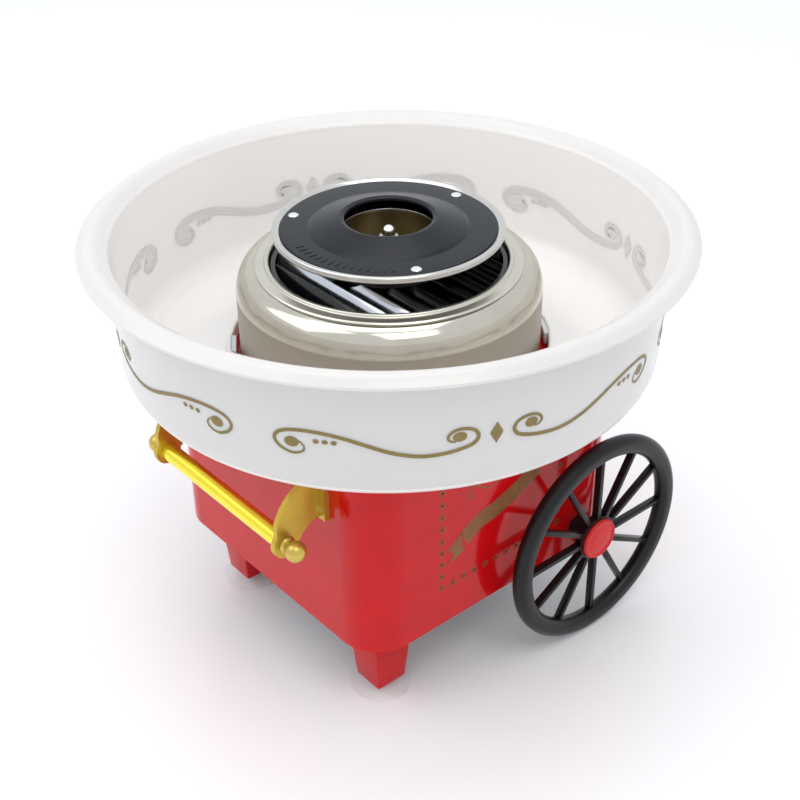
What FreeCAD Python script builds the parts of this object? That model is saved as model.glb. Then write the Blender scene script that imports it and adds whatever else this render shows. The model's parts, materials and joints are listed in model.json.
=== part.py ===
"""Cotton candy machine in the style of a street cart: a lift-off bowl over a steel drum, a spinning sugar
head on a motor shaft, and a red cart body on two front legs and two spoked wheels.

Frame: millimetres, +Z up, origin on the ground under the middle of the bowl.
The handle is on -X, the axle lies along Y behind the middle (+X), and the switch is on the +X face."""

import FreeCAD, Part  # noqa: E401
import Sketcher
import math
import os

DOCUMENT = FreeCAD.newDocument("cotton_candy_machine")
SHEET = DOCUMENT.addObject("Spreadsheet::Sheet", "Sizes")

# Driving dimensions, in millimetres unless the name says otherwise.
DIMENSIONS = {
    # cart body
    "body_half": 85.0, "body_corner": 22.0, "body_bottom": 46.5, "deck_top": 154.0, "body_wall": 3.0,
    "deck_hole": 57.0, "plate_thick": 2.5, "plate_gap": 0.3,
    # legs and suction cups
    "foot_bottom": 4.5, "foot_place": 58.0, "foot_low": 9.0, "foot_high": 12.4,
    "sucker_radius": 16.4, "sucker_neck": 4.0,
    # wheels and axle
    "axle_x": 56.8, "axle_radius": 3.0, "axle_half": 100.8, "running_gap": 0.06,
    "wheel_radius": 59.5, "wheel_inner": 49.0, "wheel_depth": 9.0, "wheel_y": 98.6,
    "hub_radius": 12.6, "hub_depth": 5.4, "hub_front": 1.4, "spoke_width": 2.7, "spoke_depth": 4.2,
    "spoke_count": 12.0, "rim_round": 4.2,
    "cap_radius": 11.6, "cap_rise": 2.6,
    # handle
    "bar_x": 107.3, "bar_z": 112.8, "bar_radius": 4.6, "bracket_inner": 49.0, "bracket_thick": 3.0,
    "knob_radius": 5.2,
    # steel drum
    "drum_radius": 76.3, "drum_top": 204.6, "drum_wall": 1.0, "drum_shoulder": 8.5, "mouth_radius": 59.4,
    "lip_top": 207.2, "collar_outer": 67.0,
    # bowl
    "bowl_radius": 150.0, "bowl_crest": 227.8, "bowl_bottom": 154.3, "bowl_wall": 2.7, "bowl_hole": 80.5,
    # spinning head
    "disc_radius": 57.0, "disc_z": 219.8, "cover_radius": 53.3, "cone_base": 39.0, "cone_hole": 21.5,
    "cone_top": 228.0, "cup_radius": 24.0, "cup_bottom": 192.0, "rivet_place": 48.6, "rivet_radius": 2.9,
    # drive
    "shaft_radius": 3.0, "motor_radius": 32.0, "motor_bottom": 66.0, "motor_top": 132.0,
    "heater_radius": 17.0, "heater_wire": 2.2, "heater_z": 185.0,
    # guard
    "guard_outer": 58.6, "guard_inner": 28.0, "guard_low": 193.5, "guard_high": 202.0,
}


class Size:
    """A number together with the sheet expression that gives it."""

    def __init__(self, value, text):
        self.value = value
        self.text = text

    def __add__(self, other):
        other = size(other)
        return Size(self.value + other.value, f"({self.text} + {other.text})")

    def __sub__(self, other):
        other = size(other)
        return Size(self.value - other.value, f"({self.text} - {other.text})")

    def __rsub__(self, other):
        return size(other) - self

    def __mul__(self, other):
        other = size(other)
        return Size(self.value * other.value, f"({self.text} * {other.text})")

    def __neg__(self):
        return Size(-self.value, f"(-1 * {self.text})")

    __radd__ = __add__
    __rmul__ = __mul__


def size(number):
    """Any number as a Size."""
    if isinstance(number, Size):
        return number
    return Size(float(number), f"({float(number)!r})")


class Sizes:
    """The sheet's cells by alias."""

    def __init__(self, sheet, dimensions):
        for row, (alias, value) in enumerate(dimensions.items(), start=1):
            sheet.set(f"A{row}", alias)
            sheet.set(f"B{row}", repr(value))
            sheet.setAlias(f"B{row}", alias)
            setattr(self, alias, Size(value, f"Sizes.{alias}"))


D = Sizes(SHEET, DIMENSIONS)
DOCUMENT.recompute()
PIECES = []


# ---- building blocks -------------------------------------------------------------------------------

def keep(label, piece):
    """Name a finished piece and list it for export."""
    piece.Label = label
    PIECES.append(piece)
    return piece


def bind(thing, **properties):
    """Bind properties of a document object to sizes."""
    for name, value in properties.items():
        thing.setExpression(name, size(value).text)


def place(thing, x=0, y=0, z=0, axis=None, angle=0):
    """Put a document object at (x, y, z), turned about an axis by an angle in degrees."""
    rotation = FreeCAD.Rotation(FreeCAD.Vector(*(axis or (0, 0, 1))), angle)
    here = FreeCAD.Vector(size(x).value, size(y).value, size(z).value)
    thing.Placement = FreeCAD.Placement(here, rotation)
    for name, value in (("x", x), ("y", y), ("z", z)):
        thing.setExpression(f"Placement.Base.{name}", size(value).text)
    return thing


def cylinder(radius, height, x=0, y=0, z=0, axis=None, angle=0):
    """A cylinder standing on (x, y, z) along local Z."""
    made = DOCUMENT.addObject("Part::Cylinder", "cylinder")
    bind(made, Radius=radius, Height=height)
    return place(made, x, y, z, axis, angle)


def along_y(radius, length, x, y, z):
    """A cylinder from (x, y, z) towards +Y."""
    return cylinder(radius, length, x, y, z, (1, 0, 0), -90)


def along_x(radius, length, x, y, z):
    """A cylinder from (x, y, z) towards +X."""
    return cylinder(radius, length, x, y, z, (0, 1, 0), 90)


def box(length, width, height, x=0, y=0, z=0):
    """A box centred on x and y, standing on z."""
    length, width = size(length), size(width)
    made = DOCUMENT.addObject("Part::Box", "box")
    bind(made, Length=length, Width=width, Height=height)
    return place(made, x - length * 0.5, y - width * 0.5, z)


def fuse(*shapes):
    """One solid from several that touch, or a group of separate solids."""
    made = DOCUMENT.addObject("Part::MultiFuse", "fuse")
    made.Shapes = list(shapes)
    made.Refine = True
    return made


def cut(base, *tools):
    """The base without the tools."""
    made = DOCUMENT.addObject("Part::Cut", "cut")
    made.Base = base
    made.Tool = tools[0] if len(tools) == 1 else fuse(*tools)
    made.Refine = True
    return made


def common(first, second):
    """What two shapes share."""
    made = DOCUMENT.addObject("Part::Common", "common")
    made.Base = first
    made.Tool = second
    return made


def ring(outer, inner, height, x=0, y=0, z=0):
    """A flat ring standing on z."""
    return cut(cylinder(outer, height, x, y, z), cylinder(inner, height, x, y, z))


def body(name):
    """An empty PartDesign body."""
    return DOCUMENT.addObject("PartDesign::Body", name)


def plane(owner, role):
    """One of a body's own origin planes or axes."""
    return next(item for item in owner.Origin.OriginFeatures if item.Role == role)


def outline(owner, role, points, offset=0):
    """A closed sketch of straight lines whose corners are bound to sizes."""
    sketch = owner.newObject("Sketcher::SketchObject", "outline")
    sketch.AttachmentSupport = [(plane(owner, role), "")]
    sketch.MapMode = "FlatFace"
    sketch.setExpression("AttachmentOffset.Base.z", size(offset).text)
    corners = [(size(u), size(v)) for u, v in points]
    vectors = [FreeCAD.Vector(u.value, v.value, 0) for u, v in corners]
    for index, start in enumerate(vectors):
        sketch.addGeometry(Part.LineSegment(start, vectors[(index + 1) % len(vectors)]), False)
    for index in range(len(vectors)):
        following = (index + 1) % len(vectors)
        sketch.addConstraint(Sketcher.Constraint("Coincident", index, 2, following, 1))
    for index, (u, v) in enumerate(corners):
        for kind, value in (("DistanceX", u), ("DistanceY", v)):
            number = sketch.addConstraint(Sketcher.Constraint(kind, -1, 1, index, 1, value.value))
            sketch.setExpression(f"Constraints[{number}]", value.text)
    return sketch


def rounded_square(owner, half, corner, offset=0):
    """A horizontal sketch of a square with round corners, bound to sizes."""
    sketch = owner.newObject("Sketcher::SketchObject", "rounded_square")
    sketch.AttachmentSupport = [(plane(owner, "XY_Plane"), "")]
    sketch.MapMode = "FlatFace"
    sketch.setExpression("AttachmentOffset.Base.z", size(offset).text)
    straight = half - corner
    sides = [((-straight, -half), (straight, -half)), ((half, -straight), (half, straight)),
             ((straight, half), (-straight, half)), ((-half, straight), (-half, -straight))]
    for start, end in sides:
        line = Part.LineSegment(*[FreeCAD.Vector(u.value, v.value, 0) for u, v in (start, end)])
        number = sketch.addGeometry(line, False)
        for place_on_line, (u, v) in ((1, start), (2, end)):
            for kind, value in (("DistanceX", u), ("DistanceY", v)):
                made = Sketcher.Constraint(kind, -1, 1, number, place_on_line, value.value)
                sketch.setExpression(f"Constraints[{sketch.addConstraint(made)}]", value.text)
    for index, (u, v) in enumerate([(1, -1), (1, 1), (-1, 1), (-1, -1)]):
        centre = FreeCAD.Vector(u * straight.value, v * straight.value, 0)
        whole = Part.Circle(centre, FreeCAD.Vector(0, 0, 1), corner.value)
        begin = math.radians(-90 + 90 * index)
        number = sketch.addGeometry(Part.ArcOfCircle(whole, begin, begin + math.pi / 2), False)
        sketch.addConstraint(Sketcher.Constraint("Coincident", number, 1, index, 2))
        sketch.addConstraint(Sketcher.Constraint("Coincident", number, 2, (index + 1) % 4, 1))
        made = Sketcher.Constraint("Radius", number, corner.value)
        sketch.setExpression(f"Constraints[{sketch.addConstraint(made)}]", corner.text)
    return sketch


def circle(owner, role, radius, x=0, y=0, offset=0):
    """A sketch of one circle bound to sizes."""
    sketch = owner.newObject("Sketcher::SketchObject", "circle")
    sketch.AttachmentSupport = [(plane(owner, role), "")]
    sketch.MapMode = "FlatFace"
    sketch.setExpression("AttachmentOffset.Base.z", size(offset).text)
    x, y, radius = size(x), size(y), size(radius)
    centre = FreeCAD.Vector(x.value, y.value, 0)
    sketch.addGeometry(Part.Circle(centre, FreeCAD.Vector(0, 0, 1), radius.value), False)
    for constraint, value in (
        (Sketcher.Constraint("Radius", 0, radius.value), radius),
        (Sketcher.Constraint("DistanceX", -1, 1, 0, 3, x.value), x),
        (Sketcher.Constraint("DistanceY", -1, 1, 0, 3, y.value), y),
    ):
        sketch.setExpression(f"Constraints[{sketch.addConstraint(constraint)}]", value.text)
    return sketch


def pad(owner, sketch, length, both=False):
    """Grow a sketch out of its plane, or out of both sides of it."""
    feature = owner.newObject("PartDesign::Pad", "pad")
    feature.Profile = sketch
    feature.Midplane = both
    bind(feature, Length=length)
    DOCUMENT.recompute()
    return feature


def pocket(owner, sketch, length, both=False, forward=True):
    """Cut a sketch into the body along its plane's normal (forward) or against it."""
    before = owner.Shape.Volume
    feature = owner.newObject("PartDesign::Pocket", "pocket")
    feature.Profile = sketch
    feature.Midplane = both
    feature.Reversed = forward
    bind(feature, Length=length)
    DOCUMENT.recompute()
    if owner.Shape.Volume > before - 0.1:
        raise RuntimeError(f"a pocket in {owner.Name} cuts nothing")
    return feature


def turn(owner, points):
    """Revolve an outline in the XZ plane, given as (radius, z) corners, about Z."""
    sketch = outline(owner, "XZ_Plane", points)
    feature = owner.newObject("PartDesign::Revolution", "turn")
    feature.Profile = sketch
    feature.ReferenceAxis = (sketch, ["V_Axis"])
    feature.Angle = 360.0
    DOCUMENT.recompute()
    return feature


def round_edges(owner, radius, wanted):
    """Fillet the edges whose test says so."""
    tip = owner.Tip
    names = [f"Edge{i}" for i, edge in enumerate(tip.Shape.Edges, start=1) if wanted(edge)]
    if not names:
        raise RuntimeError(f"no edge to round in {owner.Name}")
    feature = owner.newObject("PartDesign::Fillet", "rounding")
    feature.Base = (tip, names)
    bind(feature, Radius=radius)
    DOCUMENT.recompute()
    return feature


def rim_at(radius, z):
    """A test for the circular edge of a turned body at this radius and height."""
    def wanted(edge):
        curve = edge.Curve
        return (isinstance(curve, Part.Circle) and abs(curve.Radius - size(radius).value) < 0.01
                and abs(curve.Center.z - size(z).value) < 0.01)
    return wanted


def square(half):
    """The corners of a square about the origin."""
    return [(-half, -half), (half, -half), (half, half), (-half, half)]


def turned_piece(label, points, rounds=()):
    """A turned body with some of its circular edges rounded: (radius, z, fillet radius)."""
    made = body(label)
    turn(made, points)
    for radius, z, fillet in rounds:
        round_edges(made, fillet, rim_at(radius, z))
    return keep(label, made)


# ---- cart body -------------------------------------------------------------------------------------

SWITCH_Z = 74.0
SWITCH_HALF_WIDTH = 6.5
SWITCH_HALF_HEIGHT = 9.6
GLAND_Y = 42.0
GLAND_Z = 62.0
GLAND_RADIUS = 5.0
POST_PLACE = 46.0
POST_RADIUS = 5.0
POST_BOTTOM = 139.0
SCREW_RADIUS = 1.6
PLATE_SCREW_PLACE = 75.5
BOSS_RADIUS = 7.0
BOSS_HEIGHT = 11.0
BRACKET_SCREW_Z = (124.0, 138.0)
BRACKET_SCREW_Y = 53.0


def base_housing():
    """Red moulded shell: rounded square walls and a deck, with posts for the motor tray."""
    shell = body("base_housing")
    pad(shell, rounded_square(shell, D.body_half, D.body_corner, D.body_bottom), D.deck_top - D.body_bottom)
    inner = D.body_half - D.body_wall
    room = D.deck_top - D.body_bottom - D.body_wall
    pocket(shell, rounded_square(shell, inner, D.body_corner - D.body_wall, D.body_bottom), room)
    pocket(shell, circle(shell, "XY_Plane", D.deck_hole, offset=D.deck_top), D.body_wall, forward=False)
    axle = circle(shell, "XZ_Plane", D.axle_radius, D.axle_x, D.wheel_radius)
    pocket(shell, axle, D.body_half * 3, both=True)
    gland = circle(shell, "YZ_Plane", GLAND_RADIUS, GLAND_Y, GLAND_Z)
    pocket(shell, gland, D.body_half * 2, forward=True)
    window = [(-SWITCH_HALF_WIDTH, SWITCH_Z - SWITCH_HALF_HEIGHT), (SWITCH_HALF_WIDTH, SWITCH_Z - SWITCH_HALF_HEIGHT),
              (SWITCH_HALF_WIDTH, SWITCH_Z + SWITCH_HALF_HEIGHT), (-SWITCH_HALF_WIDTH, SWITCH_Z + SWITCH_HALF_HEIGHT)]
    pocket(shell, outline(shell, "YZ_Plane", window), D.body_half * 2, forward=True)
    for side in (-1, 1):
        for z in BRACKET_SCREW_Z:
            hole = circle(shell, "YZ_Plane", SCREW_RADIUS, side * BRACKET_SCREW_Y, z)
            pocket(shell, hole, D.body_half * 2, forward=False)
    for x in (-POST_PLACE, POST_PLACE):
        for y in (-POST_PLACE, POST_PLACE):
            post = circle(shell, "XY_Plane", POST_RADIUS, x, y, POST_BOTTOM)
            pad(shell, post, D.deck_top - D.body_wall - POST_BOTTOM)
    boss_low = D.body_bottom + D.plate_thick
    for x, y in PLATE_SCREWS:
        pad(shell, circle(shell, "XY_Plane", BOSS_RADIUS, x, y, boss_low), BOSS_HEIGHT)
        pocket(shell, circle(shell, "XY_Plane", SCREW_RADIUS, x, y, boss_low), 7.0)
    keep("base_housing", shell)


def bottom_plate():
    """Pan that closes the housing, with two rows of air slots."""
    half = D.body_half - D.body_wall - D.plate_gap
    plate = body("bottom_plate")
    corner = D.body_corner - D.body_wall - D.plate_gap
    pad(plate, rounded_square(plate, half, corner, D.body_bottom), D.plate_thick)
    for row in (-1, 1):
        for step in range(-3, 4):
            x, y = step * 9.0, row * 20.0
            slot = [(x - 1.8, y - 12), (x + 1.8, y - 12), (x + 1.8, y + 12), (x - 1.8, y + 12)]
            pocket(plate, outline(plate, "XY_Plane", slot, D.body_bottom), D.plate_thick)
    for x, y in PLATE_SCREWS:
        pocket(plate, circle(plate, "XY_Plane", SCREW_RADIUS, x, y, D.body_bottom), D.plate_thick)
    keep("bottom_plate", plate)


PLATE_SCREWS = [(-PLATE_SCREW_PLACE, 0.0), (PLATE_SCREW_PLACE, 0.0), (0.0, -PLATE_SCREW_PLACE),
                (0.0, PLATE_SCREW_PLACE)]


def screw(x, y, z, length, head_radius=3.0, head_height=1.6):
    """A pan-head screw with its head below z and its shank going up."""
    head = cylinder(head_radius, head_height, x, y, size(z) - head_height)
    return fuse(head, cylinder(SCREW_RADIUS, length, x, y, z))


def plate_screws():
    """Four screws that hold the pan."""
    keep("bottom_screws", fuse(*[screw(x, y, D.body_bottom, 9.0) for x, y in PLATE_SCREWS]))


def legs():
    """Two tapered square front legs, each on a soft suction cup."""
    for name, side in (("right", -1), ("left", 1)):
        taper = DOCUMENT.addObject("Part::Wedge", "taper")
        low, high = D.foot_low, D.foot_high
        bind(taper, Xmin=-low, Xmax=low, Zmin=-low, Zmax=low, Ymin=D.foot_bottom)
        bind(taper, X2min=-high, X2max=high, Z2min=-high, Z2max=high, Ymax=D.body_bottom)
        place(taper, axis=(1, 0, 0), angle=90)
        leg = cut(taper, cylinder(D.sucker_neck, 6.0, z=D.foot_bottom))
        place(leg, -D.foot_place, side * D.foot_place)
        keep(f"leg_{name}", leg)
        sucker = body(f"suction_cup_{name}")
        turn(sucker, [(0, 1.9), (6.0, 1.7), (D.sucker_radius - 2.8, 0), (D.sucker_radius, 0),
                      (D.sucker_radius, 0.7), (9.0, 2.7), (6.2, 3.4), (6.2, D.foot_bottom),
                      (D.sucker_neck, D.foot_bottom), (D.sucker_neck, D.foot_bottom + 5.5),
                      (0, D.foot_bottom + 5.5)])
        place(sucker, -D.foot_place, side * D.foot_place)
        keep(f"suction_cup_{name}", sucker)


# ---- wheels ----------------------------------------------------------------------------------------

SPOKE_PHASE = 0.0

def wheels():
    """A fixed axle with a spoked wheel and a red cap on each end."""
    for name, side, turned in (("right", -1, 90), ("left", 1, -90)):
        rim = body("rim")
        deep = D.wheel_depth * 0.5
        turn(rim, [(D.wheel_inner, -deep), (D.wheel_radius, -deep), (D.wheel_radius, deep),
                   (D.wheel_inner, deep)])
        round_edges(rim, D.rim_round.value, lambda edge: isinstance(edge.Curve, Part.Circle))
        back = D.hub_front - D.hub_depth
        hub = cylinder(D.hub_radius, D.hub_depth, z=back)
        length = D.wheel_inner - 7
        spokes = []
        for index in range(int(D.spoke_count.value)):
            angle = 360.0 * index / D.spoke_count.value + SPOKE_PHASE
            spoke = box(length, D.spoke_width, D.spoke_depth)
            turned_to = FreeCAD.Rotation(FreeCAD.Vector(0, 0, 1), angle)
            start = turned_to.multVec(FreeCAD.Vector(8, -D.spoke_width.value * 0.5,
                                                     D.hub_front.value - D.spoke_depth.value))
            spoke.setExpression("Placement.Base.x", None)
            spoke.setExpression("Placement.Base.y", None)
            spoke.setExpression("Placement.Base.z", None)
            spoke.Placement = FreeCAD.Placement(start, turned_to)
            spokes.append(spoke)
        bore = cylinder(D.axle_radius + D.running_gap, D.hub_depth * 2, z=-D.hub_depth)
        wheel = cut(fuse(hub, rim, *spokes), bore)
        place(wheel, D.axle_x, side * D.wheel_y, D.wheel_radius, (1, 0, 0), turned)
        keep(f"wheel_{name}", wheel)

        cap = body(f"hub_cap_{name}")
        rise, radius = D.cap_rise, D.cap_radius
        turn(cap, [(0, 1.5), (4.4, 1.5), (4.4, 0), (radius, 0), (radius, rise * 0.6), (radius - 1.2, rise * 0.85),
                   (radius - 2.6, rise * 0.7), (radius * 0.5, rise * 0.93), (0, rise)])
        place(cap, D.axle_x, side * (D.wheel_y + D.hub_front), D.wheel_radius, (1, 0, 0), turned)
        keep(f"hub_cap_{name}", cap)

    keep("axle", along_y(D.axle_radius, D.axle_half * 2, D.axle_x, -D.axle_half, D.wheel_radius))
    spacers = []
    gap = 0.3
    length = D.wheel_y - D.hub_depth + D.hub_front - D.body_half - gap
    for y in (D.body_half, -D.body_half - length):
        spacers.append(cut(along_y(6.5, length, D.axle_x, y, D.wheel_radius),
                           along_y(D.axle_radius, length, D.axle_x, y, D.wheel_radius)))
    keep("axle_spacers", fuse(*spacers))


# ---- handle ----------------------------------------------------------------------------------------

ARM_OUTER = 27.5
ARM_INNER = 13.0
ARM_END = 7.2


def handle():
    """Push bar between two curved brackets, with a ball knob outside each."""
    keep("handle_bar", along_y(D.bar_radius, D.bracket_inner * 2, -D.bar_x, -D.bracket_inner, D.bar_z))
    for name, side in (("right", -1), ("left", 1)):
        near = side * D.bracket_inner if side > 0 else -D.bracket_inner - D.bracket_thick
        big = along_y(ARM_OUTER, D.bracket_thick, -D.body_half - 1, near, 116.5)
        hollow = along_y(ARM_INNER, D.bracket_thick, -D.body_half - 3, near, 106.5)
        end = along_y(ARM_END, D.bracket_thick, -D.bar_x, near, D.bar_z)
        window = box(ARM_OUTER, 20, 60, -D.body_half - ARM_OUTER * 0.5, near, 112.8)
        arm = fuse(cut(common(big, window), hollow), end)
        middle = near + D.bracket_thick * 0.5
        flange = box(3.0, 10.0, 27.0, -D.body_half - 1.5, middle + side * 0.5, 118.5)
        holes = [along_x(SCREW_RADIUS, 3.0, -D.body_half - 3, side * BRACKET_SCREW_Y, z)
                 for z in BRACKET_SCREW_Z]
        keep(f"bracket_{name}", cut(fuse(arm, flange), *holes))
        outer = D.bracket_inner + D.bracket_thick
        neck = 2.0
        stem_start = outer if side > 0 else -outer - neck - 1
        stem = along_y(3.4, neck + 1, -D.bar_x, stem_start, D.bar_z)
        ball = DOCUMENT.addObject("Part::Sphere", "ball")
        bind(ball, Radius=D.knob_radius)
        place(ball, -D.bar_x, side * (outer + neck + D.knob_radius * 0.9), D.bar_z)
        keep(f"knob_{name}", fuse(stem, ball))
    screws = []
    for side in (-1, 1):
        for z in BRACKET_SCREW_Z:
            shank = along_x(SCREW_RADIUS, D.body_wall + 3, -D.body_half - 3, side * BRACKET_SCREW_Y, z)
            head = along_x(3.0, 1.6, -D.body_half + D.body_wall, side * BRACKET_SCREW_Y, z)
            screws.append(fuse(shank, head))
    keep("bracket_screws", fuse(*screws))


# ---- steel drum ------------------------------------------------------------------------------------

FLOOR_HOLE = 8.0
FLOOR_THICK = 1.2


def drum():
    """Spun steel drum, its rolled mouth ring, and the heat shield that floors it."""
    top, wall, radius = D.drum_top, D.drum_wall, D.drum_radius
    turned_piece("drum_shell", [
        (62, top - wall), (62, top), (radius, top), (radius, D.deck_top), (60, D.deck_top),
        (60, D.deck_top + wall), (radius - wall, D.deck_top + wall), (radius - wall, top - wall),
    ], [(radius, top, D.drum_shoulder), (radius - wall, top - wall, D.drum_shoulder - wall)])
    lip = 1.9
    turned_piece("drum_collar", [
        (D.mouth_radius, top - 6), (D.mouth_radius, D.lip_top), (D.mouth_radius + lip, D.lip_top),
        (D.mouth_radius + lip, top + 1), (D.collar_outer, top + 1), (D.collar_outer, top + 0.05),
        (D.mouth_radius + 1, top + 0.05), (D.mouth_radius + 1, top - 6),
    ], [(D.mouth_radius, D.lip_top, 0.8), (D.mouth_radius + lip, D.lip_top, 0.8)])
    floor_z = D.deck_top + wall
    floor = ring(radius - wall - 0.3, FLOOR_HOLE, FLOOR_THICK, z=floor_z)
    leads = [cylinder(2.2, 4, side * D.heater_radius, 0, floor_z - 1) for side in (-1, 1)]
    keep("heat_shield", cut(floor, *leads))


def guard():
    """Black grille in the drum's mouth: parallel tilted slats between two rings, on three legs."""
    low, high = D.guard_low, D.guard_high
    outer = ring(D.guard_outer, D.guard_outer - 3.0, high - low, z=low)
    inner = ring(D.guard_inner + 2.0, D.guard_inner, high - low, z=low)
    slats = []
    for index in range(-4, 5):
        x = index * 12.0 - 8.0 if index <= 0 else index * 12.0 - 8.0
        tilt = 35 if x < 0 else -55
        slat = DOCUMENT.addObject("Part::Box", "slat")
        bind(slat, Length=8.5, Width=D.guard_outer * 2, Height=1.4)
        place(slat, x - 3.5, -D.guard_outer, low + 3.4, (0, 1, 0), tilt)
        slats.append(slat)
    space = ring(D.guard_outer - 2.0, D.guard_inner + 1.0, 30, z=low - 8)
    legs_z = D.deck_top + D.drum_wall + FLOOR_THICK
    legs = []
    for angle in (90, 210, 330):
        place_radius = D.guard_outer - 2.5
        x = place_radius * math.cos(math.radians(angle))
        y = place_radius * math.sin(math.radians(angle))
        legs.append(cylinder(1.9, low - legs_z + 1, x, y, legs_z))
    keep("heat_guard", fuse(outer, inner, common(fuse(*slats), space), *legs))


# ---- drive and heater ------------------------------------------------------------------------------

TRAY_THICK = 2.0
TRAY_Z = 136.0
SHAFT_BOTTOM = 60.0
BUSH_RADIUS = 7.0
BUSH_LENGTH = 6.0


def drive():
    """Motor under the deck on a tray, with its rotor and a shaft up to the head."""
    gap = D.running_gap
    can_wall = 1.6
    inside = D.motor_radius - can_wall
    turned_piece("motor_can", [
        (BUSH_RADIUS, D.motor_bottom), (D.motor_radius, D.motor_bottom), (D.motor_radius, D.motor_top),
        (inside, D.motor_top), (inside, D.motor_bottom + can_wall), (BUSH_RADIUS, D.motor_bottom + can_wall),
    ])
    turned_piece("motor_end_cap", [
        (BUSH_RADIUS, D.motor_top), (D.motor_radius, D.motor_top), (D.motor_radius, D.motor_top + 2),
        (16, D.motor_top + 2), (16, TRAY_Z), (BUSH_RADIUS, TRAY_Z)])
    bore = D.shaft_radius + gap
    keep("motor_bushes", fuse(
        ring(BUSH_RADIUS, bore, BUSH_LENGTH, z=D.motor_bottom),
        ring(BUSH_RADIUS, bore, BUSH_LENGTH, z=D.motor_top - 2)))
    magnets = []
    for turned in (0, 180):
        block = ring(inside, inside - 5, 44, z=D.motor_bottom + 9)
        keeper = box(inside * 2.2, 36, 50, z=D.motor_bottom + 6)
        half = box(inside * 2.2, 36, 50, z=D.motor_bottom + 6, x=inside * (1.1 if turned == 0 else -1.1))
        magnets.append(common(common(block, keeper), half))
    keep("motor_magnets", fuse(*magnets))
    shaft_top = 217.0
    keep("motor_shaft", cylinder(D.shaft_radius, shaft_top - SHAFT_BOTTOM, z=SHAFT_BOTTOM))
    core = ring(21.5, D.shaft_radius, 36, z=D.motor_bottom + 13)
    slots = [cylinder(2.6, 36, 18 * math.cos(math.radians(a)), 18 * math.sin(math.radians(a)),
                      D.motor_bottom + 13) for a in range(0, 360, 60)]
    keep("motor_rotor", cut(core, *slots))
    tray = cut(box(POST_PLACE * 2 + 14, POST_PLACE * 2 + 14, TRAY_THICK, z=TRAY_Z),
               cylinder(D.shaft_radius + 3, TRAY_THICK, z=TRAY_Z),
               *[cylinder(3.0, TRAY_THICK, x, y, TRAY_Z) for x in (-POST_PLACE, POST_PLACE)
                 for y in (-POST_PLACE, POST_PLACE)])
    keep("motor_tray", tray)
    posts = [(x, y) for x in (-POST_PLACE, POST_PLACE) for y in (-POST_PLACE, POST_PLACE)]
    keep("motor_grommets", fuse(*[
        cut(fuse(cylinder(5.0, 1.0, x, y, TRAY_Z + TRAY_THICK), cylinder(3.0, TRAY_THICK, x, y, TRAY_Z),
                 cylinder(5.0, 1.0, x, y, TRAY_Z - 1)),
            cylinder(SCREW_RADIUS, 4.0, x, y, TRAY_Z - 1)) for x, y in posts]))
    keep("motor_screws", fuse(*[screw(x, y, TRAY_Z - 1, 4.0) for x, y in posts]))


def heater():
    """Heating ring on three ceramic posts under the sugar cup."""
    coil = DOCUMENT.addObject("Part::Torus", "coil")
    bind(coil, Radius1=D.heater_radius, Radius2=D.heater_wire)
    place(coil, 0, 0, D.heater_z)
    ends = [cylinder(1.8, D.heater_z - D.deck_top + 8, side * D.heater_radius, 0, D.deck_top - 8)
            for side in (-1, 1)]
    keep("heating_element", fuse(coil, *ends))
    floor_top = D.deck_top + D.drum_wall + FLOOR_THICK
    posts = []
    for angle in (45, 135, 225, 315):
        x = D.heater_radius * math.cos(math.radians(angle))
        y = D.heater_radius * math.sin(math.radians(angle))
        posts.append(cylinder(3.0, D.heater_z - D.heater_wire - floor_top, x, y, floor_top))
    keep("heater_posts", fuse(*posts))


# ---- spinning head ---------------------------------------------------------------------------------

def head():
    """Sugar cup and hub, steel disc, black cover, rivets and dome nut, all on the shaft."""
    cup_top = D.disc_z
    thick = 1.0
    turned_piece("sugar_cup", [
        (D.shaft_radius, D.cup_bottom), (D.cup_radius - 3, D.cup_bottom), (D.cup_radius, D.cup_bottom + 4),
        (D.cup_radius, cup_top), (D.cup_radius - thick, cup_top), (D.cup_radius - thick, D.cup_bottom + 4.5),
        (D.cup_radius - 3.5, D.cup_bottom + thick), (6.5, D.cup_bottom + thick), (5.5, D.cup_bottom + 22),
        (D.shaft_radius, D.cup_bottom + 22),
    ])
    band_low = D.cup_bottom + 10
    keep("spinner_band", ring(D.cup_radius + 0.6, D.cup_radius, 12, z=band_low))
    disc, radius = D.disc_z, D.disc_radius
    turned_piece("head_disc", [
        (D.cup_radius - thick, disc), (radius, disc), (radius, disc + 3.6), (D.cover_radius, disc + 3.6),
        (D.cover_radius, disc + 1.2), (D.cup_radius - thick, disc + 1.2)],
        [(radius, disc + 3.6, 1.2)])
    low = disc + 1.2
    flat = disc + 3.0
    turned_piece("head_cover", [
        (D.cone_base - 1, low), (D.cover_radius - 0.1, low), (D.cover_radius - 0.1, flat), (D.cone_base, flat),
        (D.cone_hole + 1, D.cone_top), (D.cone_hole, D.cone_top - 0.4), (D.cone_hole, D.cone_top - 2)],
        [(D.cone_base, flat, 2.0)])
    rivets = []
    for angle in (5, 125, 245):
        x = D.rivet_place * math.cos(math.radians(angle))
        y = D.rivet_place * math.sin(math.radians(angle))
        cap = DOCUMENT.addObject("Part::Sphere", "rivet")
        bind(cap, Radius=D.rivet_radius * 2)
        place(cap, x, y, flat - D.rivet_radius * 2 + 0.9)
        rivets.append(common(cap, cylinder(D.rivet_radius, 1.2, x, y, flat)))
    keep("head_rivets", fuse(*rivets))
    dome = DOCUMENT.addObject("Part::Sphere", "dome")
    bind(dome, Radius=3.3)
    place(dome, 0, 0, 219.6)
    nut = cut(fuse(cylinder(4.6, 3.4, z=D.cup_bottom + 22), cylinder(3.3, 5.6, z=D.cup_bottom + 22), dome),
              cylinder(D.shaft_radius, 3.0, z=D.cup_bottom + 22))
    keep("dome_nut", nut)


# ---- bowl ------------------------------------------------------------------------------------------

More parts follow.
